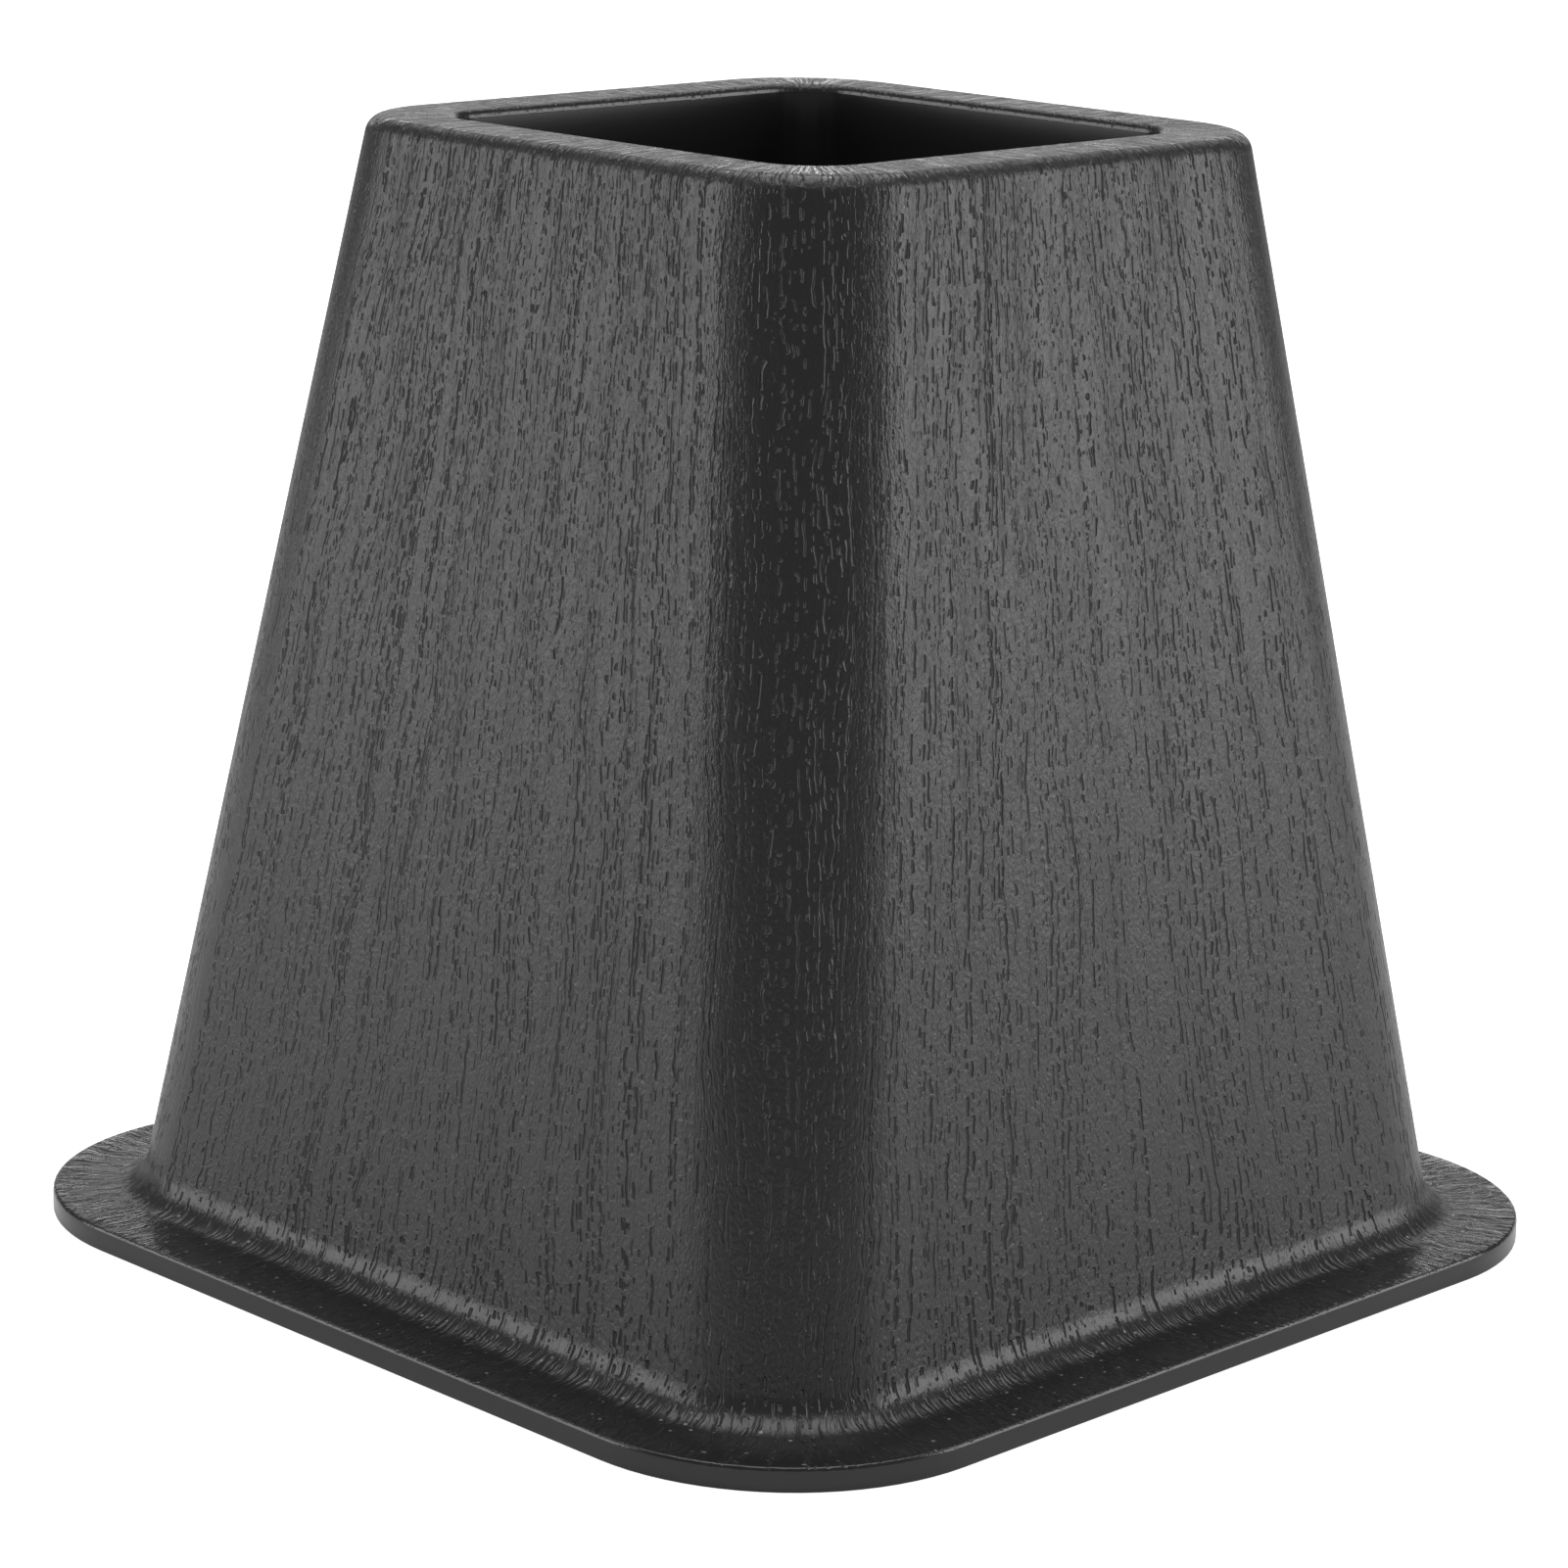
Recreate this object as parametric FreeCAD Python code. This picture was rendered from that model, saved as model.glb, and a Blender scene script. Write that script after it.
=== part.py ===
"""Bed riser: a square, tapered, hollow block with a recess on top that takes the leg of a bed.

It is moulded as one piece of plastic: a flared shell with a flange round its foot, a flat rim round
its top, and inside it a square cup that hangs from the rim on crossed ribs. Sizes are in millimetres.
+Z is up, and the origin is on the floor under the middle of the riser.
"""

import FreeCAD
import Part

import math
import os

# Driving dimensions
HEIGHT = 152.4            # floor to rim
WALL_LEAN = 8.7           # degrees that each outer wall leans in from the vertical
WALL = 3.0                # thickness of the outer walls, square to their face
CORNER = 18.7             # radius of the body's upright corners

FLANGE_WIDTH = 11.8       # how far the flange stands out from the foot of the walls
FLANGE_CORNER = 31.5
FLANGE_THICKNESS = 3.2
FLANGE_ROUND = 0.7        # rounding of the flange's upper edge
FOOT_FILLET = 6.5         # radius of the hollow between the walls and the flange

RIM_WIDTH = 11.0          # top of the outer wall to the mouth of the recess
RIM_THICKNESS = 3.0
RIM_ROUND = 2.5           # rounding of the rim's outer edge
LIP_ROUND = 1.5           # rounding of the rim's inner edge, into the recess

RECESS_SIDE = 70.8        # mouth of the recess, between opposite walls
RECESS_CORNER = 6.0       # radius of its upright corners
RECESS_DEPTH = 30.0       # rim to the floor that the leg stands on
RECESS_DRAFT = 2.0        # degrees that its walls close in towards the floor
RECESS_FLOOR_FILLET = 2.0

CUP_WALL = 2.5            # thickness of the recess's walls
CUP_FLOOR = 3.0

RIB_THICKNESS = 2.0
RIB_SPACING = 36.0        # between the two ribs of a pair
RIB_DROP = 12.0           # how far the ribs reach below the cup

PAST_FACE = 1.0           # how far a cutting block runs past the face that it opens

# Sizes that follow from them
TOP_SIDE = RECESS_SIDE + 2 * RIM_WIDTH
BASE_SIDE = TOP_SIDE + 2 * HEIGHT * math.tan(math.radians(WALL_LEAN))
FLANGE_SIDE = BASE_SIDE + 2 * FLANGE_WIDTH
RECESS_FLOOR = HEIGHT - RECESS_DEPTH
CUP_BOTTOM = RECESS_FLOOR - CUP_FLOOR
RIB_BOTTOM = CUP_BOTTOM - RIB_DROP
CAVITY_TOP = HEIGHT - RIM_THICKNESS
INSIDE_RIM = HEIGHT - RIM_THICKNESS / 2

UP = FreeCAD.Vector(0, 0, 1)


def tapered_block(low, high, side_at, corner):
    """A solid from one height to another on the Z axis, square in section, with its upright edges rounded.

    side_at gives the side of the square at any height.
    """
    below = side_at(low) / 2
    above = side_at(high) / 2
    block = Part.makeWedge(-below, low, -below, -above, -above, below, high, below, above, above)
    block.rotate(FreeCAD.Vector(), FreeCAD.Vector(1, 0, 0), 90)
    uprights = [edge for edge in block.Edges if edge.BoundBox.ZLength > (high - low) / 2]
    return block.makeFillet(corner, uprights)


def walls(low, high, inwards=0.0):
    """The block that the outer walls enclose, or one that lies a set thickness inside them."""
    lean = math.radians(WALL_LEAN)

    def side_at(z):
        return BASE_SIDE - 2 * z * math.tan(lean) - 2 * inwards / math.cos(lean)

    return tapered_block(low, high, side_at, CORNER - inwards)


def cup(low, high, outwards=0.0):
    """The block that the recess takes up, or one that stands a set thickness outside it."""
    draft = math.radians(RECESS_DRAFT)

    def side_at(z):
        return RECESS_SIDE - 2 * (HEIGHT - z) * math.tan(draft) + 2 * outwards / math.cos(draft)

    return tapered_block(low, high, side_at, RECESS_CORNER + outwards)


def round_off(shape, radius, z, along=None):
    """The shape with its level edges at height z rounded, or only those that also lie on another solid."""
    found = []
    for edge in shape.Edges:
        middle = edge.valueAt((edge.FirstParameter + edge.LastParameter) / 2)
        level = edge.BoundBox.ZLength < 1e-3 and abs(middle.z - z) < 1e-3
        if level and (along is None or along.distToShape(Part.Vertex(middle))[0] < 1e-3):
            found.append(edge)
    return shape.makeFillet(radius, found)


def flange():
    """The flat plate round the foot, with its corners and upper edge rounded."""
    plate = Part.makeBox(FLANGE_SIDE, FLANGE_SIDE, FLANGE_THICKNESS)
    plate.translate(FreeCAD.Vector(-FLANGE_SIDE / 2, -FLANGE_SIDE / 2, 0))
    uprights = [edge for edge in plate.Edges if edge.BoundBox.ZLength > FLANGE_THICKNESS / 2]
    return round_off(plate.makeFillet(FLANGE_CORNER, uprights), FLANGE_ROUND, FLANGE_THICKNESS)


def shell():
    """The outer walls with their flange and rim, hollow below, the mouth flared to follow the foot."""
    block = walls(0, HEIGHT)
    outside = round_off(block, RIM_ROUND, HEIGHT).fuse(flange()).removeSplitter()
    outside = round_off(outside, FOOT_FILLET, FLANGE_THICKNESS, along=block)
    hollow = walls(0, CAVITY_TOP, WALL)
    return round_off(outside.cut(hollow), FOOT_FILLET + WALL, 0, along=hollow)


def ribs():
    """Two crossed pairs of upright ribs that reach from wall to wall, ending inside the walls and rim."""
    inside_walls = walls(RIB_BOTTOM, INSIDE_RIM, WALL / 2)
    plate = Part.makeBox(RIB_THICKNESS, BASE_SIDE, INSIDE_RIM - RIB_BOTTOM)
    plate.translate(FreeCAD.Vector(RIB_SPACING / 2 - RIB_THICKNESS / 2, -BASE_SIDE / 2, RIB_BOTTOM))
    return [plate.rotated(FreeCAD.Vector(), UP, turn).common(inside_walls) for turn in (0, 90, 180, 270)]


def bed_riser():
    """The whole riser, as one solid."""
    inner_work = [cup(CUP_BOTTOM, INSIDE_RIM, CUP_WALL)] + ribs()
    recess = round_off(cup(RECESS_FLOOR, HEIGHT + PAST_FACE), RECESS_FLOOR_FILLET, RECESS_FLOOR)
    solid = shell().fuse(inner_work).cut(recess).removeSplitter()
    return round_off(solid, LIP_ROUND, HEIGHT, along=recess).Solids[0]


def main():
    os.makedirs("parts", exist_ok=True)
    bed_riser().exportStep("parts/bed_riser.step")


main()
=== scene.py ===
"""Bed riser: the finished look of a square, tapered block of black plastic that lifts the leg of a bed.

The riser is one surface, a profile carried round a rounded square, with crossed ribs joined to it
underneath. Its outside is embossed with a wood grain that runs along the profile. Sizes are in metres,
+Z is up, and the origin is on the floor under the middle of the riser.
"""

import math
from collections import namedtuple

import bpy
import numpy as np
from mathutils import Matrix, Vector


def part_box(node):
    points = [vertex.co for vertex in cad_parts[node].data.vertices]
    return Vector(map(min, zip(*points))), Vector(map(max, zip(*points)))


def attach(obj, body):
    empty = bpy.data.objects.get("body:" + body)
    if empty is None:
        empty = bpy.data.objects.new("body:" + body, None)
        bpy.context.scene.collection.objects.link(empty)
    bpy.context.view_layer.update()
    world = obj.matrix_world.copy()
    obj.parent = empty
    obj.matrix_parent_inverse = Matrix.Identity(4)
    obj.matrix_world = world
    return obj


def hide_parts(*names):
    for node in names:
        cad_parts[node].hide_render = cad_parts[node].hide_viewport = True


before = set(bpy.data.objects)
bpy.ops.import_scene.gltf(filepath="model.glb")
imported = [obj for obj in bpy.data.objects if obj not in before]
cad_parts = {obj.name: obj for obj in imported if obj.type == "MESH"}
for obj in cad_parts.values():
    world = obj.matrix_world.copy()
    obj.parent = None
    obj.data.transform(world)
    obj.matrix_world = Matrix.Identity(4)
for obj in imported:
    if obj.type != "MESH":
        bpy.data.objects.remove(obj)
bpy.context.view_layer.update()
NODE = "bed_riser"
BODY = "root"

bl_info = {
    "name": "Bed riser",
    "version": (1, 0, 0),
    "blender": (4, 5, 0),
    "location": "View3D > Sidebar > Riser",
    "description": "Builds a moulded bed riser with a wood grain finish, and a plain studio round it",
    "category": "Add Mesh",
}

LOW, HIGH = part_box(NODE)
MM = 0.001
SHARP_ANGLE = math.radians(35)    # faces that meet at more than this keep a crisp edge
LIP_TOP = math.radians(24)        # end of the lip's rounding, where the grain comes up to the rim's

# Scales of the grain's noises per millimetre: two for the plan of the grain block, one for its height
SLOW_SCALE = (0.09, 0.09, 0.035)
QUICK_SCALE = (0.6, 0.6, 0.40)
BAND_SCALE = (0.22, 0.22, 0.018)
RIDGE_SCALE = (0.95, 0.95, 0.05)
STREAK_SCALE = (1.7, 1.7, 0.15)
PEBBLE_SCALE = (3.0, 3.0, 1.5)
TO_MILLIMETRES = (1000.0, 1000.0, 1000.0)

# How far the lines waver about the block, in radians
SLOW_TURN = 0.060
QUICK_TURN = 0.013

# Heights of the relief between the pores, as shares of the pores' depth
RIDGE_HEIGHT = 0.6
STREAK_HEIGHT = 1.7
PEBBLE_HEIGHT = 0.40

# Layers of pores, in millimetres, with the shifts that keep their lines apart
COARSE_PORES = {"Spacing": 0.62, "Half width": 0.16, "Dash length": 2.2}
FINE_PORES = {"Spacing": 0.42, "Half width": 0.11, "Dash length": 1.3}
BROAD_PORES = {"Spacing": 0.50, "Half width": 0.16, "Dash length": 2.4, "Gate": 0.45}
FINE_SHIFT = (37.0, 11.0, 5.0)
BROAD_SHIFT = (53.0, 29.0, 17.0)
FINE_WEIGHT = 0.7                 # strength of a fine pore beside a coarse one
LINE_CORE = 0.6                   # share of a line's half width before its edge fades
SLOPE_REACH = 1.5                 # half widths from the middle of a hollow to the top of its sides
CELL_SPREAD = (61.0, 47.0, 83.0)  # spreads the cells' random colours over the dash noise
GATE_FADE = 0.05                  # rise of the dash noise above the gate over which a dash comes in

# Gates of the pores, on the plain pair of sides and on the bold pair
THIN_BAND_GATES = (0.66, 0.56)
THICK_BAND_GATES = (0.52, 0.44)
FINE_GATES = (0.48, 0.58)
BAND_RANGE = (0.32, 0.68)         # of the band noise, from thin bands to thick ones
BOLD_AXIS = (0.7, 0.7, 0.0)       # across the block, from the plain pair to the bold pair
BOLD_RANGE = (-22.0, 22.0)        # millimetres along that axis

# Where a face counts as level, and as the rim, and how the streaks change the rim's gloss
LEVEL_RANGE = (0.55, 0.95)
RIM_COVER = (0.7, 1.0)
PATCH_RANGE = (0.40, 0.60)        # of the streaks' noise
PATCH_GLOSS = (0.65, 1.5)         # times the usual roughness

# Dust: cells per metre, size of a speck in its cell, and how much it shows on walls and on level faces
DUST_SCALE = 500.0
DUST_RANGE = (0.08, 0.13)
DUST_SHARES = (0.12, 0.7)
PLASTIC_IOR = 1.58

# The lamps: power names a value of the studio, turn and lift are degrees, and size is width and height
Lamp = namedtuple("Lamp", "power turn lift distance size")
LAMPS = {
    "Left lamp": Lamp("left_power", -89.2, 16.5, 1.3, (0.76, 0.90)),
    "Right lamp": Lamp("right_power", 88.4, 16.5, 1.3, (0.72, 0.90)),
    "Back lamp": Lamp("back_power", 180.0, 8.5, 2.6, (2.20, 0.23)),
    "Top lamp": Lamp("top_power", 180.0, 78.0, 1.3, (1.30, 2.00)),
}
LAMP_AIM = Vector((0.0, 0.0, 0.08))
FRONT_RANGE = (0.22, 0.66)        # cosine of the angle from the camera's side
OVERHEAD_RANGE = (0.40, 0.85)     # sine of the height above the level
FLOOR_REACH = 3.0
FLOOR_MIRRORED = 0.20             # share of the floor's own light that gloss on the riser shows
SENSOR_WIDTH = 36.0
CLIP_START = 0.01
WHITE = (1.0, 1.0, 1.0, 1.0)


def length(name, description, metres):
    """A size that the user can change, in metres."""
    return bpy.props.FloatProperty(
        name=name, description=description, default=metres, min=0.0, unit="LENGTH", precision=4
    )


def angle(name, description, degrees):
    """An angle that the user can change, given here in degrees."""
    return bpy.props.FloatProperty(
        name=name, description=description, default=math.radians(degrees), subtype="ANGLE"
    )


def share(name, description, value, highest=1.0):
    """A plain number that the user can change."""
    return bpy.props.FloatProperty(
        name=name, description=description, default=value, min=0.0, max=highest
    )


def watts(name, description, value):
    """A lamp's power that the user can change."""
    return share(name, description + ", in watts", value, 100.0)


def colour(name, description, rgb):
    """A colour that the user can change."""
    return bpy.props.FloatVectorProperty(
        name=name, description=description, default=rgb, size=3, min=0.0, max=1.0, subtype="COLOR"
    )


class RiserSizes(bpy.types.PropertyGroup):
    """The riser's sizes."""

    height: length("Height", "Floor to rim", HIGH.z - LOW.z)
    flange_side: length("Flange side", "Width of the flange between opposite edges", HIGH.x - LOW.x)
    flange_width: length("Flange width", "How far the flange stands out from the walls", 11.8 * MM)
    flange_corner: length("Flange corner", "Radius of the flange's corners", 31.5 * MM)
    flange_thickness: length("Flange thickness", "Height of the flange's edge", 3.2 * MM)
    flange_round: length("Flange round", "Rounding of the flange's upper edge", 0.5 * MM)
    floor_round: length("Floor round", "Rounding of the flange's lower edge", 0.3 * MM)
    foot_fillet: length("Foot fillet", "Radius of the hollow between walls and flange", 5.0 * MM)
    wall_lean: angle("Wall lean", "Lean of the outer walls from the vertical", 8.7)
    wall: length("Wall", "Thickness of the outer walls", 3.0 * MM)
    foot_corner: length("Foot corner", "Radius of the body's upright corners at the foot", 19.2 * MM)
    top_corner: length("Top corner", "Radius of the body's upright corners at the top", 17.6 * MM)
    rim_thickness: length("Rim thickness", "Thickness of the flat rim", 3.0 * MM)
    rim_round: length("Rim round", "Rounding of the rim's outer edge", 2.7 * MM)
    lip_round: length("Lip round", "Rounding of the rim's inner edge", 1.2 * MM)
    recess_side: length("Recess side", "Mouth of the recess between opposite walls", 70.8 * MM)
    recess_corner: length("Recess corner", "Radius of the recess's upright corners", 7.8 * MM)
    recess_depth: length("Recess depth", "Rim to the floor that the leg stands on", 30.0 * MM)
    recess_draft: angle("Recess draft", "Lean of the recess's walls from the vertical", 2.0)
    recess_fillet: length("Recess fillet", "Hollow between the recess's walls and floor", 2.0 * MM)
    cup_wall: length("Cup wall", "Thickness of the recess's walls", 2.5 * MM)
    cup_floor: length("Cup floor", "Thickness of the recess's floor", 3.0 * MM)
    rib_thickness: length("Rib thickness", "Thickness of the ribs under the cup", 2.0 * MM)
    rib_spacing: length("Rib spacing", "Distance between the two ribs of a pair", 36.0 * MM)
    rib_drop: length("Rib drop", "How far the ribs reach below the cup", 12.0 * MM)


class RiserFinish(bpy.types.PropertyGroup):
    """The plastic's colour and grain."""

    plastic: colour("Plastic", "Colour of the plastic", (0.013, 0.013, 0.013))
    # Painted shade: the pores' darker colour stands in for the shade that falls down in the embossed
    # pores; the plastic there is the same black
    painted_pore_shade: colour("Pores", "Colour down in the pores of the grain", (0.006, 0.006, 0.006))
    dust_colour: colour("Dust", "Colour of the few specks of dust", (0.45, 0.45, 0.43))
    smooth_gloss: share("Smooth roughness", "Roughness of the recess and the flange's edge", 0.17)
    grain_gloss: share("Grain roughness", "Roughness of the grained outside", 0.30)
    pore_gloss: share("Pore roughness", "Roughness down in the pores", 0.62)
    pore_depth: length("Pore depth", "Depth of the embossed pores", 0.22 * MM)


class StudioSetup(bpy.types.PropertyGroup):
    """The camera, the lamps and the floor."""

    camera_azimuth: angle("Camera azimuth", "Turn of the camera, from -Y towards +X", 44.966)
    camera_elevation: angle("Camera elevation", "Camera's height above the level, as an angle", 14.212)
    camera_roll: angle("Camera roll", "Turn of the camera about its own axis", 1.238)
    camera_distance: length("Camera distance", "Camera to the point it looks at", 0.664)
    camera_aim_height: length("Aim height", "Height of the point that the camera looks at", 0.0618)
    camera_aim_side: bpy.props.FloatProperty(
        name="Aim side",
        description="How far to the right of the riser's axis the camera looks",
        default=-0.00141,
        unit="LENGTH",
        precision=5,
    )
    camera_lens: bpy.props.FloatProperty(
        name="Lens",
        description="Focal length on a 36 mm sensor",
        default=111.17,
        min=1.0,
        unit="CAMERA",
    )
    left_power: watts("Left power", "Power of the lamp on the left", 5.65)
    right_power: watts("Right power", "Power of the lamp on the right", 6.5)
    back_power: watts("Back power", "Power of the lamp behind the riser", 4.9)
    top_power: watts("Top power", "Power of the lamp above the riser", 19.0)
    studio_level: share("Studio level", "Brightness of the walls of the studio", 0.15)
    overhead_level: share("Overhead level", "Brightness of the studio overhead", 0.22)
    front_level: share("Front level", "Brightness of the studio behind the camera", 0.26)
    floor_colour: colour("Floor", "Colour of the floor", (0.65, 0.65, 0.65))
    floor_lift: share("Floor lift", "Light that the floor itself gives, up to plain white", 0.84)


def straight(start, end, count):
    """Rings along a straight piece of the profile: start plus an even share of the way to end.

    A ring is three numbers: its reach from the axis to a side, its height and its corner radius.
    """
    way = np.linspace(0.0, 1.0, count)[:, None]
    return np.asarray(start) + way * (np.asarray(end) - np.asarray(start))


def bend(centre, radius, first, last, count):
    """Rings along an arc of the profile: reach is the centre's plus radius times the angle's cosine,
    height is the centre's plus radius times its sine, and the corner radius grows with the reach.
    """
    turn = np.linspace(first, last, count)
    out = radius * np.cos(turn)
    return np.stack([centre[0] + out, centre[1] + radius * np.sin(turn), centre[2] + out], axis=1)


def riser_profile(size):
    """The profile from the middle of the recess, over the rim, down the wall and back up the inside.

    Each piece is its rings with the share of grain at its first and last ring. A wall's reach is a base
    reach less the height times the tangent of its lean. The last number of a straight or a bend is its
    count of rings.
    """
    lean = size.wall_lean
    draft = size.recess_draft
    top = size.height
    recess_floor = top - size.recess_depth
    cup_bottom = recess_floor - size.cup_floor
    cavity_top = top - size.rim_thickness
    flange = size.flange_side / 2
    flare = size.foot_fillet + size.wall
    inside = size.wall * math.cos(lean)
    cup_corner = size.recess_corner + size.cup_wall
    down = -math.pi / 2
    up = math.pi / 2

    def wall(z, inwards=0.0):
        return flange - size.flange_width - z * math.tan(lean) - inwards / math.cos(lean)

    def recess(z, outwards=0.0):
        return size.recess_side / 2 - (top - z) * math.tan(draft) + outwards / math.cos(draft)

    def recess_centre(z, outwards):
        return recess(z, outwards), z, size.recess_corner + outwards * math.cos(draft)

    def wall_centre(z, inwards, corner):
        return wall(z, inwards), z, corner - inwards * math.cos(lean)

    def edge_centre(z, radius):
        return flange - radius, z, size.flange_corner - radius

    hollow_centre = recess_centre(recess_floor + size.recess_fillet, -size.recess_fillet)
    lip_centre = recess_centre(top - size.lip_round, size.lip_round)
    rim_centre = wall_centre(top - size.rim_round, size.rim_round, size.top_corner)
    foot_height = size.flange_thickness + size.foot_fillet
    foot_centre = wall_centre(foot_height, -size.foot_fillet, size.foot_corner)
    flange_centre = edge_centre(size.flange_thickness - size.flange_round, size.flange_round)
    floor_centre = edge_centre(size.floor_round, size.floor_round)
    mouth_corner = size.foot_corner - inside + flare * math.cos(lean)
    mouth_centre = (wall(flare, size.wall - flare), flare, mouth_corner)

    hollow = bend(hollow_centre, size.recess_fillet, down, -draft, 7)
    lip = bend(lip_centre, size.lip_round, math.pi - draft, up + LIP_TOP, 8)
    lip_top = bend(lip_centre, size.lip_round, up + LIP_TOP, up, 4)
    rim_edge = bend(rim_centre, size.rim_round, up, lean, 12)
    foot = bend(foot_centre, size.foot_fillet, math.pi + lean, math.pi + up, 11)
    flange_edge = bend(flange_centre, size.flange_round, up, 0.0, 6)
    floor_edge = bend(floor_centre, size.floor_round, 0.0, down, 4)
    mouth = bend(mouth_centre, flare, math.pi + up, math.pi + lean, 11)
    under_rim = (wall(cavity_top, size.wall), cavity_top, size.top_corner - inside)
    cup_top = (recess(cavity_top, size.cup_wall), cavity_top, cup_corner)
    cup_foot = (recess(cup_bottom, size.cup_wall), cup_bottom, cup_corner)

    pieces = [
        (straight((0.0, recess_floor, 0.0), hollow[0], 4), 0.0, 0.0),
        (hollow, 0.0, 0.0),
        (straight(hollow[-1], lip[0], 6), 0.0, 0.0),
        (lip, 0.0, 0.6),
        (lip_top, 0.6, 1.0),
        (straight(lip_top[-1], rim_edge[0], 7), 1.0, 1.0),
        (rim_edge, 1.0, 1.0),
        (straight(rim_edge[-1], foot[0], 24), 1.0, 1.0),
        (foot, 1.0, 0.65),
        (straight(foot[-1], flange_edge[0], 5), 0.65, 0.45),
        (flange_edge, 0.45, 0.0),
        (straight(flange_edge[-1], floor_edge[0], 4), 0.0, 0.0),
        (floor_edge, 0.0, 0.0),
        (straight(floor_edge[-1], mouth[0], 3), 0.0, 0.0),
        (mouth, 0.0, 0.0),
        (straight(mouth[-1], under_rim, 14), 0.0, 0.0),
        (straight(under_rim, cup_top, 4), 0.0, 0.0),
        (straight(cup_top, cup_foot, 6), 0.0, 0.0),
        (straight(cup_foot, (0.0, cup_bottom, 0.0), 5), 0.0, 0.0),
    ]
    rings = np.concatenate([rows[min(k, 1):] for k, (rows, first, last) in enumerate(pieces)])
    covers = [np.linspace(first, last, len(rows)) for rows, first, last in pieces]
    grain = np.concatenate([row[min(k, 1):] for k, row in enumerate(covers)])
    return rings, grain


def rounded_square(rings, per_side=20, per_corner=20):
    """Points round every ring, quarter by quarter, as an array of rings by columns by three.

    A point is (reach less corner) times a, plus corner times c. Along a side a is (1, t) with t from -1
    to 1 and c is (1, 0), and round a corner a is (1, 1) and c is the cosine and sine of the angle. The
    other three quarters are the first one turned by right angles.
    """
    t = np.linspace(-1.0, 1.0, per_side, endpoint=False)
    turn = np.linspace(0.0, math.pi / 2, per_corner, endpoint=False)
    a = np.concatenate([np.stack([np.ones_like(t), t], 1), np.ones((per_corner, 2))])
    c = np.concatenate([np.tile([1.0, 0.0], (per_side, 1)), np.stack([np.cos(turn), np.sin(turn)], 1)])
    reach, height, corner = (rings[:, k, None, None] for k in range(3))
    quarter = (reach - corner) * a + corner * c
    turned = [quarter]
    for _ in range(3):
        turned.append(np.stack([-turned[-1][..., 1], turned[-1][..., 0]], axis=-1))
    plan = np.concatenate(turned, axis=1)
    return np.concatenate([plan, np.broadcast_to(height, plan.shape[:2] + (1,))], axis=-1)


def along(points, axis):
    """Length from the first point to each point of an array, added up along one of its axes."""
    steps = np.linalg.norm(np.diff(points, axis=axis), axis=-1)
    start = np.zeros_like(np.take(steps, [0], axis=axis))
    return np.concatenate([start, np.cumsum(steps, axis=axis)], axis=axis)


def closed_skin(grid):
    """Vertices and faces of a surface whose first and last rings are single points.

    Row by row the faces are four-sided and wrap round from the last column to the first, and each end
    is a fan of triangles about its one point.
    """
    rows, columns = grid.shape[0] - 2, grid.shape[1]
    vertices = np.concatenate([grid[:1, 0], grid[1:-1].reshape(-1, 3), grid[-1:, 0]])
    index = 1 + np.arange(rows * columns).reshape(rows, columns)
    beside = np.roll(index, -1, axis=1)
    quads = np.stack([index[:-1], index[1:], beside[1:], beside[:-1]], axis=-1).reshape(-1, 4)
    first = np.stack([np.zeros(columns, int), index[0], beside[0]], axis=-1)
    last = np.stack([index[-1], np.full(columns, len(vertices) - 1), beside[-1]], axis=-1)
    return vertices, first.tolist() + quads.tolist() + last.tolist()


def skin_values(values):
    """One value per vertex of closed_skin, from an array of rings by columns."""
    between = values[1:-1].reshape((-1,) + values.shape[2:])
    return np.concatenate([values[:1, 0], between, values[-1:, 0]])


def grain_space(grid, cover):
    """Where each point lies in the block that the grain is cut from, as rings by columns by three.

    The way round the riser becomes the way round a circle of the same girth at mid height, and the way
    along the profile becomes the height on that circle, so the grain closes on itself.
    """
    outside = grid[cover == 1.0]
    middle = outside[np.argmin(np.abs(outside[:, 0, 2] - outside[:, 0, 2].max() / 2))]
    girth = along(np.concatenate([middle, middle[:1]]), 0)
    turn = 2 * math.pi * girth[:-1] / girth[-1]
    radius = girth[-1] / (2 * math.pi)
    circle = radius * np.stack([np.cos(turn), np.sin(turn)], axis=-1)
    height = along(grid[:, 0], 0)
    return np.concatenate(
        [
            np.broadcast_to(circle, grid.shape[:2] + (2,)),
            np.broadcast_to(height[:, None, None], grid.shape[:2] + (1,)),
        ],
        axis=-1,
    )


def level_share(rings):
    """How level the profile runs at each ring: the change of reach over the length of the same step."""
    reach, height = np.gradient(rings[:, 0]), np.gradient(rings[:, 1])
    return np.abs(reach) / np.hypot(reach, height)


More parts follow.
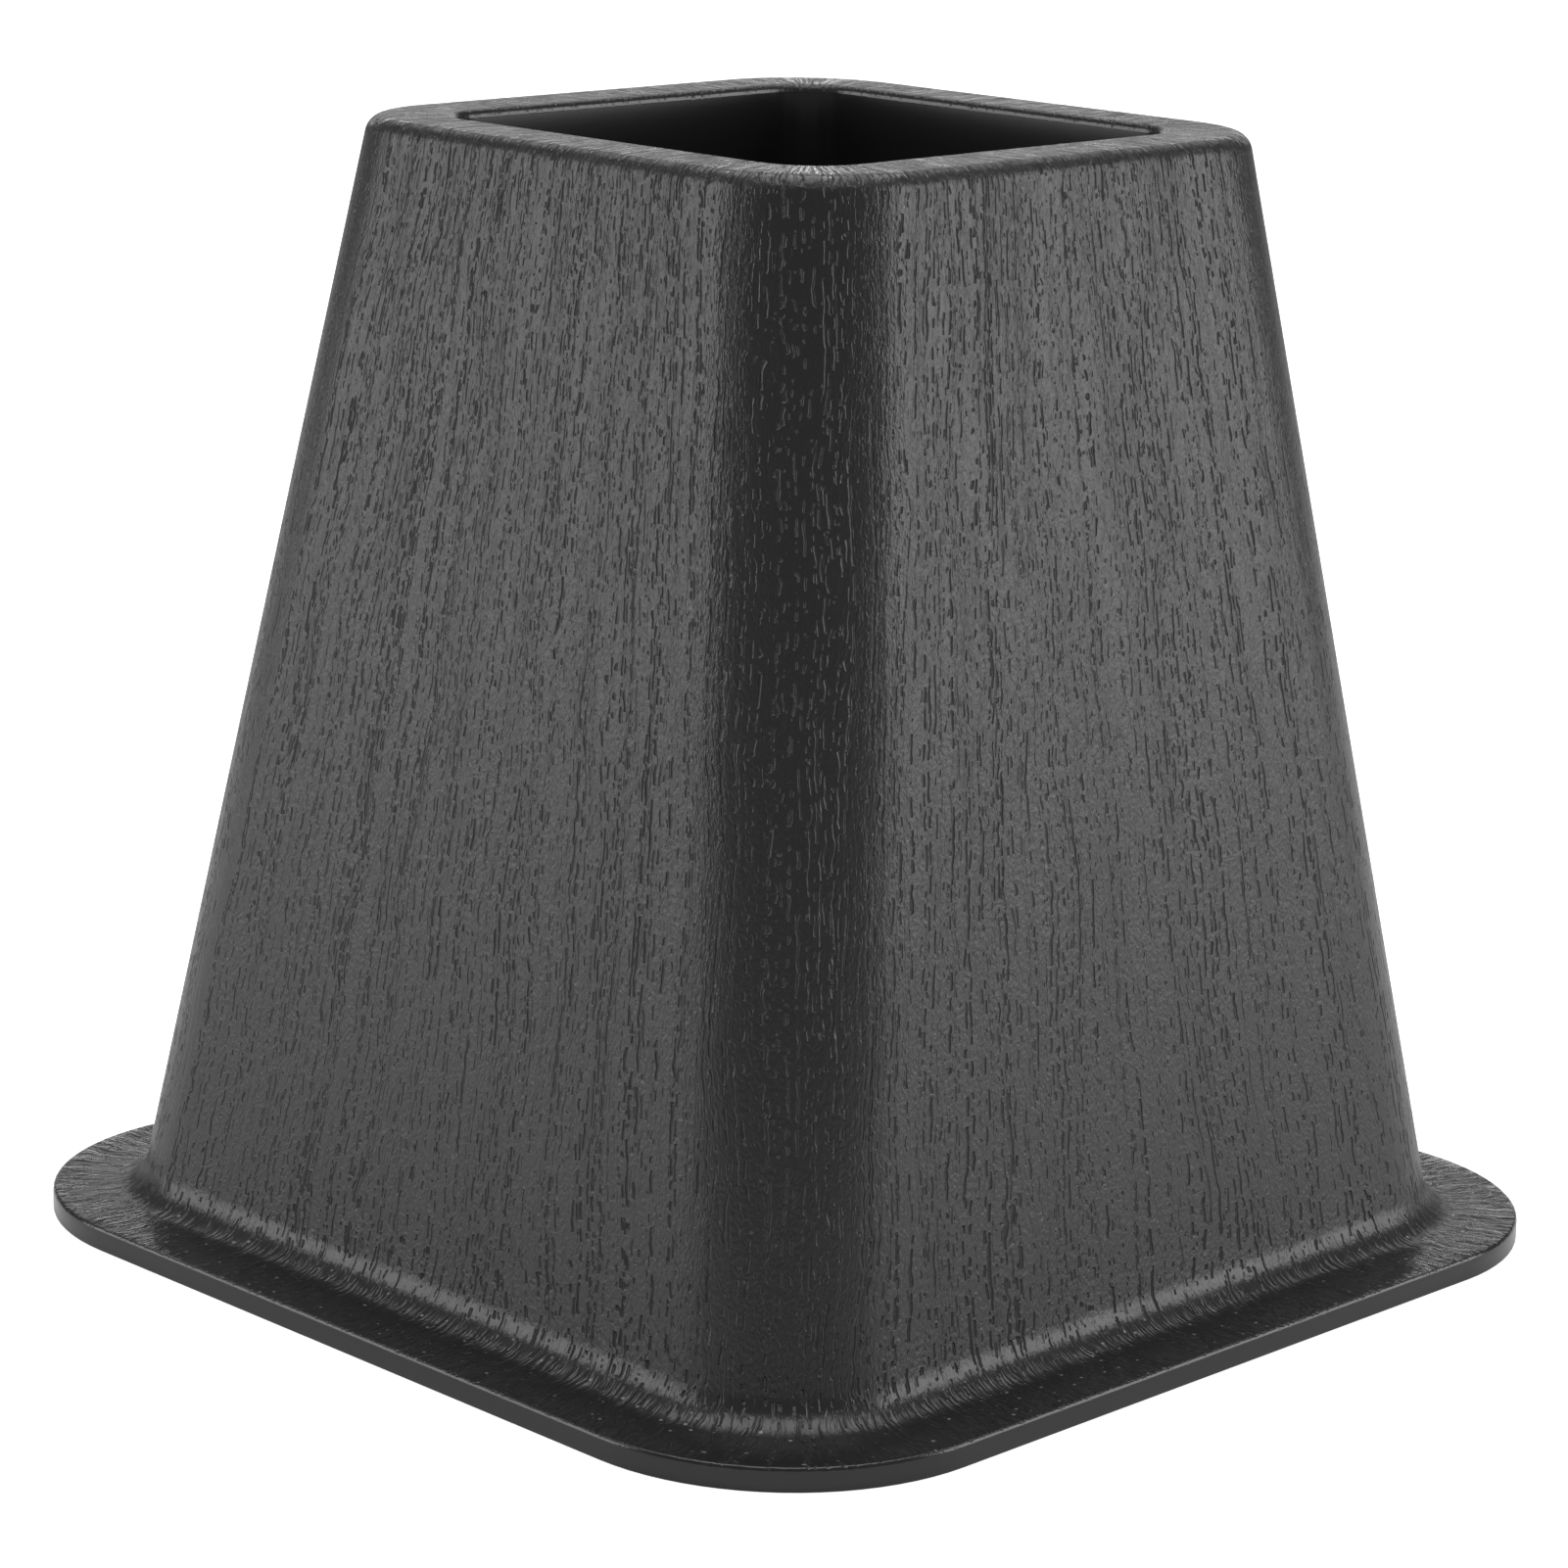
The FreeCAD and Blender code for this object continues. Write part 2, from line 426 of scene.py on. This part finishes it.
def rib_pair(size, turned):
    """Vertices and faces of two upright ribs, flat plates that pass under the cup and up beside it.

    The outline's points lie half way into the walls, the rim and the cup, and the plate is the outline
    pushed through its thickness.
    """
    lean = size.wall_lean
    draft = size.recess_draft
    floor = size.height - size.recess_depth - size.cup_floor / 2
    low = floor - size.cup_floor / 2 - size.rib_drop
    high = size.height - size.rim_thickness / 2
    foot = size.flange_side / 2 - size.flange_width - size.wall / 2 / math.cos(lean)
    mouth = size.recess_side / 2 + size.cup_wall / 2 / math.cos(draft)
    half = np.array(
        [
            [foot - low * math.tan(lean), low],
            [foot - high * math.tan(lean), high],
            [mouth - (size.height - high) * math.tan(draft), high],
            [mouth - (size.height - floor) * math.tan(draft), floor],
        ]
    )
    outline = np.concatenate([half, half[::-1] * [-1, 1]])
    count = len(outline)
    faces_at = size.rib_spacing / 2 + size.rib_thickness / 2 * np.array([-1.0, 1.0])
    plates = []
    for side in (faces_at, -faces_at[::-1]):
        across = np.repeat(side, count)
        plates.append(np.column_stack([across, np.tile(outline, (2, 1))]))
    vertices = np.concatenate(plates)
    if turned:
        vertices = vertices[:, [1, 0, 2]] * [-1, 1, 1]
    ring = np.arange(count)
    ahead = np.roll(ring, -1)
    sides = np.stack([ring, ring + count, ahead + count, ahead], axis=-1)
    plate = sides.tolist() + [ring.tolist(), (ring[::-1] + count).tolist()]
    faces = [[corner + shift for corner in face] for shift in (0, 2 * count) for face in plate]
    return vertices, faces


def new_object(name, vertices, faces):
    """An object at the origin with a mesh of these vertices and faces, linked to the scene."""
    mesh = bpy.data.meshes.new(name)
    mesh.from_pydata(vertices.tolist(), [], faces)
    mesh.update()
    made = bpy.data.objects.new(name, mesh)
    bpy.context.scene.collection.objects.link(made)
    return made


def add_attribute(mesh, name, kind, field, values):
    """A named value or vector at each vertex of a mesh, from an array with a row for each."""
    attribute = mesh.attributes.new(name, kind, "POINT")
    attribute.data.foreach_set(field, values.astype(np.float32).ravel())


def join_solids(piece, others):
    """Unites the piece with the other closed solids, and removes them."""
    for other in others:
        union = piece.modifiers.new("Join " + other.name, "BOOLEAN")
        union.operation = "UNION"
        union.solver = "EXACT"
        union.object = other
    bpy.context.view_layer.update()
    joined = bpy.data.meshes.new_from_object(
        piece.evaluated_get(bpy.context.evaluated_depsgraph_get())
    )
    piece.modifiers.clear()
    plain = piece.data
    piece.data = joined
    joined.name = piece.name
    bpy.data.meshes.remove(plain)
    for other in others:
        mesh = other.data
        bpy.data.objects.remove(other)
        bpy.data.meshes.remove(mesh)


class NodeLayout:
    """Adds nodes to a tree and joins them, each set up in one call."""

    def __init__(self, tree):
        self.tree = tree
        tree.nodes.clear()

    def feed(self, socket, value):
        """Links a socket to an input, or sets anything else as the input's value."""
        if isinstance(value, bpy.types.NodeSocket):
            self.tree.links.new(value, socket)
        else:
            socket.default_value = value

    def add(self, kind, inputs=None, **settings):
        """A node with its settings and inputs."""
        node = self.tree.nodes.new(kind)
        for name, value in settings.items():
            setattr(node, name, value)
        for key, value in (inputs or {}).items():
            self.feed(node.inputs[key], value)
        return node

    def math(self, operation, *values):
        """The result of one sum on two or three numbers."""
        return self.add("ShaderNodeMath", dict(enumerate(values)), operation=operation).outputs[0]

    def vector(self, operation, first, second):
        """The result of one sum on two vectors."""
        return self.add("ShaderNodeVectorMath", {0: first, 1: second}, operation=operation).outputs[0]

    def dot(self, first, second):
        """The dot product of two vectors."""
        node = self.add("ShaderNodeVectorMath", {0: first, 1: second}, operation="DOT_PRODUCT")
        return node.outputs["Value"]

    def ramp(self, value, low, high, start=0.0, end=1.0):
        """A value that goes smoothly from start to end while the input goes from low to high."""
        settings = {"Value": value, "From Min": low, "From Max": high, "To Min": start, "To Max": end}
        return self.add("ShaderNodeMapRange", settings, interpolation_type="SMOOTHSTEP").outputs[0]

    def noise(self, vector, detail, roughness=0.5):
        """Soft three-way noise about a half, with features about one unit across."""
        settings = {"Vector": vector, "Scale": 1.0, "Detail": detail, "Roughness": roughness}
        return self.add("ShaderNodeTexNoise", settings).outputs["Fac"]

    def stretched_noise(self, vector, scale, detail, roughness=0.5):
        """Noise with a scale of its own for each direction."""
        return self.noise(self.vector("MULTIPLY", vector, scale), detail, roughness)

    def mix(self, factor, first, second):
        """One colour over another."""
        node = self.add("ShaderNodeMix", data_type="RGBA")
        for key, value in ((0, factor), (6, first), (7, second)):
            self.feed(node.inputs[key], value)
        return node.outputs[2]


def pore_layer():
    """The node group for one layer of pores: narrow upright lines, each broken into dashes of its own.

    The lines lie where the plan of the grain block comes near the middle of a flat cell. Each cell's
    random colour picks a place in a noise, which then runs on with the height, and a line shows where
    that noise is over the gate. Dash is 1 in a dash and 0 outside it, and Hollow is the same with wide,
    sloping sides.
    """
    group = bpy.data.node_groups.new("Pore layer", "ShaderNodeTree")
    group.interface.new_socket("Place", in_out="INPUT", socket_type="NodeSocketVector")
    for name in ("Spacing", "Half width", "Dash length", "Gate"):
        group.interface.new_socket(name, in_out="INPUT", socket_type="NodeSocketFloat")
    for name in ("Dash", "Hollow"):
        group.interface.new_socket(name, in_out="OUTPUT", socket_type="NodeSocketFloat")
    lay = NodeLayout(group)
    given = lay.add("NodeGroupInput").outputs
    half = given["Half width"]
    gate = given["Gate"]
    cells = lay.add(
        "ShaderNodeTexVoronoi",
        {
            "Vector": given["Place"],
            "Scale": lay.math("DIVIDE", 1.0, given["Spacing"]),
            "Randomness": 1.0,
        },
        voronoi_dimensions="2D",
    ).outputs
    away = lay.math("MULTIPLY", cells["Distance"], given["Spacing"])
    line = lay.ramp(away, lay.math("MULTIPLY", half, LINE_CORE), half, 1.0, 0.0)
    slope = lay.ramp(away, 0.0, lay.math("MULTIPLY", half, SLOPE_REACH), 1.0, 0.0)
    height = lay.add("ShaderNodeSeparateXYZ", {"Vector": given["Place"]}).outputs["Z"]
    dashes = lay.math("DIVIDE", height, given["Dash length"])
    rise = lay.add("ShaderNodeCombineXYZ", {"Z": dashes}).outputs[0]
    own = lay.vector("ADD", lay.vector("MULTIPLY", cells["Color"], CELL_SPREAD), rise)
    shown = lay.ramp(lay.noise(own, detail=1.0), gate, lay.math("ADD", gate, GATE_FADE))
    masks = {"Dash": lay.math("MULTIPLY", line, shown), "Hollow": lay.math("MULTIPLY", slope, shown)}
    lay.add("NodeGroupOutput", masks)
    return group


def grained_plastic(finish):
    """Black moulded plastic with an embossed wood grain where the piece's grain attributes say so.

    The grain is layers of pores on lines that waver a little round the block, with a relief between
    them. The walls have a coarse layer, thick in some bands and thin in others, over a fine one, with
    long soft ridges, and two of the four sides have more of the coarse one than the other two. The
    level faces have one broad layer and short streaks, which also change the gloss of the rim, and most
    of the few specks of dust.
    """
    material = bpy.data.materials.new("Grained black plastic")
    material.use_nodes = True
    lay = NodeLayout(material.node_tree)
    block = lay.add("ShaderNodeAttribute", attribute_name="grain_block").outputs["Vector"]
    cover = lay.add("ShaderNodeAttribute", attribute_name="grain_cover").outputs["Fac"]
    level = lay.add("ShaderNodeAttribute", attribute_name="grain_level").outputs["Fac"]
    place = lay.vector("MULTIPLY", block, TO_MILLIMETRES)

    slow = lay.math("MULTIPLY", lay.stretched_noise(place, SLOW_SCALE, detail=1.0), SLOW_TURN)
    quick = lay.math("MULTIPLY", lay.stretched_noise(place, QUICK_SCALE, detail=1.0), QUICK_TURN)
    sway = {"Vector": place, "Angle": lay.math("ADD", slow, quick)}
    place = lay.add("ShaderNodeVectorRotate", sway, rotation_type="Z_AXIS").outputs["Vector"]

    bands = lay.stretched_noise(place, BAND_SCALE, detail=2.0)
    bold = lay.ramp(lay.dot(place, BOLD_AXIS), *BOLD_RANGE)
    thin = lay.ramp(bold, 0.0, 1.0, *THIN_BAND_GATES)
    thick = lay.ramp(bold, 0.0, 1.0, *THICK_BAND_GATES)
    gate = lay.ramp(bands, *BAND_RANGE, thin, thick)
    fine_gate = lay.ramp(bold, 0.0, 1.0, *FINE_GATES)
    beside = lay.vector("ADD", place, FINE_SHIFT)
    apart = lay.vector("ADD", place, BROAD_SHIFT)
    group = pore_layer()
    coarse, fine, broad = (
        lay.add("ShaderNodeGroup", values, node_tree=group).outputs
        for values in (
            {**COARSE_PORES, "Place": place, "Gate": gate},
            {**FINE_PORES, "Place": beside, "Gate": fine_gate},
            {**BROAD_PORES, "Place": apart},
        )
    )
    masks = {}
    for kind in ("Dash", "Hollow"):
        upright = lay.math("MAXIMUM", coarse[kind], lay.math("MULTIPLY", fine[kind], FINE_WEIGHT))
        both = lay.ramp(level, *LEVEL_RANGE, upright, broad[kind])
        masks[kind] = lay.math("MULTIPLY", both, cover)
    pores = masks["Dash"]

    ridges = lay.stretched_noise(place, RIDGE_SCALE, detail=3.0, roughness=0.6)
    streaks = lay.stretched_noise(place, STREAK_SCALE, detail=2.0)
    pebble = lay.stretched_noise(place, PEBBLE_SCALE, detail=2.0)
    on_walls = lay.math("MULTIPLY", ridges, RIDGE_HEIGHT)
    on_level = lay.math("MULTIPLY", streaks, STREAK_HEIGHT)
    lines = lay.ramp(level, *LEVEL_RANGE, on_walls, on_level)
    relief = lay.math("ADD", lines, lay.math("MULTIPLY", pebble, PEBBLE_HEIGHT))
    height = lay.math("SUBTRACT", lay.math("MULTIPLY", relief, cover), masks["Hollow"])
    bump = lay.add(
        "ShaderNodeBump", {"Height": height, "Strength": 1.0, "Distance": finish.pore_depth}
    )

    cells = lay.add("ShaderNodeTexVoronoi", {"Vector": block, "Scale": DUST_SCALE, "Randomness": 1.0})
    speck = lay.ramp(cells.outputs["Distance"], *DUST_RANGE, 1.0, 0.0)
    dust = lay.math("MULTIPLY", speck, lay.ramp(level, *LEVEL_RANGE, *DUST_SHARES))
    # Painted shade: the pores are darkened to the pore colour in place of the shade that falls in them
    base = lay.mix(pores, (*finish.plastic, 1.0), (*finish.painted_pore_shade, 1.0))
    base = lay.mix(lay.math("MULTIPLY", dust, cover), base, (*finish.dust_colour, 1.0))
    satin = lay.ramp(cover, 0.0, 1.0, finish.smooth_gloss, finish.grain_gloss)
    on_rim = lay.math("MULTIPLY", level, lay.ramp(cover, *RIM_COVER))
    patchy = lay.ramp(on_rim, *LEVEL_RANGE, 1.0, lay.ramp(streaks, *PATCH_RANGE, *PATCH_GLOSS))
    satin = lay.math("MULTIPLY", satin, patchy)
    gloss = lay.ramp(pores, 0.0, 1.0, satin, finish.pore_gloss)
    shader = lay.add(
        "ShaderNodeBsdfPrincipled",
        {"Base Color": base, "Roughness": gloss, "Normal": bump.outputs["Normal"], "IOR": PLASTIC_IOR},
    )
    lay.add("ShaderNodeOutputMaterial", {"Surface": shader.outputs["BSDF"]})
    return material


def build_riser(size, finish):
    """The whole riser as one closed mesh in the CAD node's place, with its grain and its material."""
    rings, cover = riser_profile(size)
    grid = rounded_square(rings)
    vertices, faces = closed_skin(grid)
    riser = new_object("riser", vertices, faces)
    places = skin_values(grain_space(grid, cover))
    add_attribute(riser.data, "grain_block", "FLOAT_VECTOR", "vector", places)
    for name, values in (("grain_cover", cover), ("grain_level", level_share(rings))):
        over_rings = np.broadcast_to(values[:, None], grid.shape[:2])
        add_attribute(riser.data, name, "FLOAT", "value", skin_values(over_rings))
    join_solids(riser, [new_object("ribs_" + word, *rib_pair(size, word == "y")) for word in "xy"])
    mesh = riser.data
    mesh.shade_smooth()
    mesh.set_sharp_from_angle(angle=SHARP_ANGLE)
    mesh.materials.clear()
    mesh.materials.append(grained_plastic(finish))
    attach(riser, BODY)
    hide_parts(NODE)
    return riser


def outwards(azimuth, lift):
    """The direction at an angle round the riser, from -Y towards +X, and an angle above the level."""
    return Vector(
        (math.sin(azimuth) * math.cos(lift), -math.cos(azimuth) * math.cos(lift), math.sin(lift))
    )


def place_camera(studio):
    """The camera at the photograph's angle: the aim point plus the distance along the back axis."""
    azimuth, roll = studio.camera_azimuth, studio.camera_roll
    back = outwards(azimuth, studio.camera_elevation)
    level = Vector((math.cos(azimuth), math.sin(azimuth), 0.0))
    upright = back.cross(level)
    right = math.cos(roll) * level + math.sin(roll) * upright
    up = math.cos(roll) * upright - math.sin(roll) * level
    aim = level * studio.camera_aim_side + Vector((0.0, 0.0, studio.camera_aim_height))
    data = bpy.data.cameras.new("Camera")
    data.lens = studio.camera_lens
    data.sensor_width = SENSOR_WIDTH
    data.clip_start = CLIP_START
    camera = bpy.data.objects.new("Camera", data)
    bpy.context.scene.collection.objects.link(camera)
    turn = Matrix((right, up, back)).transposed().to_4x4()
    camera.matrix_world = Matrix.Translation(aim + back * studio.camera_distance) @ turn
    bpy.context.scene.camera = camera


def place_lamp(name, lamp, studio):
    """A soft lamp that looks at the riser, turned about Z from the camera's side and lifted."""
    out = outwards(studio.camera_azimuth + math.radians(lamp.turn), math.radians(lamp.lift))
    data = bpy.data.lights.new(name, "AREA")
    data.shape = "RECTANGLE"
    data.size, data.size_y = lamp.size
    data.energy = getattr(studio, lamp.power)
    placed = bpy.data.objects.new(name, data)
    bpy.context.scene.collection.objects.link(placed)
    placed.visible_camera = False
    placed.location = LAMP_AIM + out * lamp.distance
    placed.rotation_euler = out.to_track_quat("Z", "Y").to_euler()


def studio_world(studio):
    """A dim studio, less dim overhead and behind the camera, and white where the camera looks."""
    world = bpy.data.worlds.new("Studio")
    bpy.context.scene.world = world
    world.use_nodes = True
    lay = NodeLayout(world.node_tree)
    towards = lay.add("ShaderNodeTexCoord").outputs["Generated"]
    facing = lay.dot(towards, outwards(studio.camera_azimuth, 0.0))
    level = lay.ramp(facing, *FRONT_RANGE, studio.studio_level, studio.front_level)
    upwards = lay.add("ShaderNodeSeparateXYZ", {"Vector": towards}).outputs["Z"]
    level = lay.ramp(upwards, *OVERHEAD_RANGE, level, studio.overhead_level)
    seen = lay.add("ShaderNodeLightPath").outputs
    shown = lay.math("MAXIMUM", seen["Is Camera Ray"], seen["Is Transmission Ray"])
    level = lay.math("MAXIMUM", level, shown)
    background = lay.add("ShaderNodeBackground", {"Color": WHITE, "Strength": level})
    lay.add("ShaderNodeOutputWorld", {"Surface": background.outputs["Background"]})


def studio_floor(studio):
    """A wide plain floor under the riser that takes its shadow and shows as near white."""
    across = np.linspace(-FLOOR_REACH, FLOOR_REACH, 2)
    x, y = np.meshgrid(across, across)
    corners = np.column_stack([x.ravel(), y.ravel(), np.zeros(4)])
    floor = new_object("floor", corners, [[0, 1, 3, 2]])
    material = bpy.data.materials.new("Pale floor")
    material.use_nodes = True
    lay = NodeLayout(material.node_tree)
    paint = lay.add("ShaderNodeBsdfDiffuse", {"Color": (*studio.floor_colour, 1.0)})
    seen = lay.add("ShaderNodeLightPath").outputs
    shown = lay.math("MAXIMUM", seen["Is Camera Ray"], seen["Is Transmission Ray"])
    mirrored = lay.math("MULTIPLY", seen["Is Glossy Ray"], FLOOR_MIRRORED)
    shown = lay.math("MAXIMUM", shown, mirrored)
    glow = lay.add("ShaderNodeEmission", {"Strength": lay.math("MULTIPLY", shown, studio.floor_lift)})
    both = lay.add("ShaderNodeAddShader", {0: paint.outputs[0], 1: glow.outputs[0]})
    lay.add("ShaderNodeOutputMaterial", {"Surface": both.outputs[0]})
    floor.data.materials.append(material)


class RISER_OT_body(bpy.types.Operator):
    """Build the riser with its ribs and its wood grain finish"""

    bl_idname = "riser.body"
    bl_label = "Build the riser"

    def execute(self, context):
        riser = build_riser(context.scene.riser_sizes, context.scene.riser_finish)
        if not riser.data.polygons:
            raise RuntimeError("the riser has no faces")
        return {"FINISHED"}


class RISER_OT_stage(bpy.types.Operator):
    """Set up the floor, the lamps, the studio and the camera"""

    bl_idname = "riser.stage"
    bl_label = "Set the stage"

    def execute(self, context):
        studio = context.scene.riser_studio
        context.scene.view_settings.view_transform = "Standard"
        studio_world(studio)
        studio_floor(studio)
        for name, lamp in LAMPS.items():
            place_lamp(name, lamp, studio)
        place_camera(studio)
        if context.scene.camera is None:
            raise RuntimeError("the stage has no camera")
        return {"FINISHED"}


class RISER_PT_panel(bpy.types.Panel):
    """Lists the riser's operators with the values that they use."""

    bl_idname = "RISER_PT_panel"
    bl_label = "Bed riser"
    bl_space_type = "VIEW_3D"
    bl_region_type = "UI"
    bl_category = "Riser"

    def draw(self, context):
        scene = context.scene
        for operator, groups in (
            (RISER_OT_body, (scene.riser_sizes, scene.riser_finish)),
            (RISER_OT_stage, (scene.riser_studio,)),
        ):
            self.layout.operator(operator.bl_idname)
            column = self.layout.column(align=True)
            for group in groups:
                for name in group.__annotations__:
                    column.prop(group, name)


GROUPS = {"riser_sizes": RiserSizes, "riser_finish": RiserFinish, "riser_studio": StudioSetup}
CLASSES = (*GROUPS.values(), RISER_OT_body, RISER_OT_stage, RISER_PT_panel)


def register():
    """Registers the classes, and gives the scene its three groups of values."""
    for kind in CLASSES:
        bpy.utils.register_class(kind)
    for name, kind in GROUPS.items():
        setattr(bpy.types.Scene, name, bpy.props.PointerProperty(type=kind))


def unregister():
    """Takes the groups of values and the classes away again."""
    for name in GROUPS:
        delattr(bpy.types.Scene, name)
    for kind in reversed(CLASSES):
        bpy.utils.unregister_class(kind)


def main():
    """Builds the riser and its stage."""
    register()
    bpy.ops.riser.body()
    bpy.ops.riser.stage()


if __name__ == "__main__":
    main()
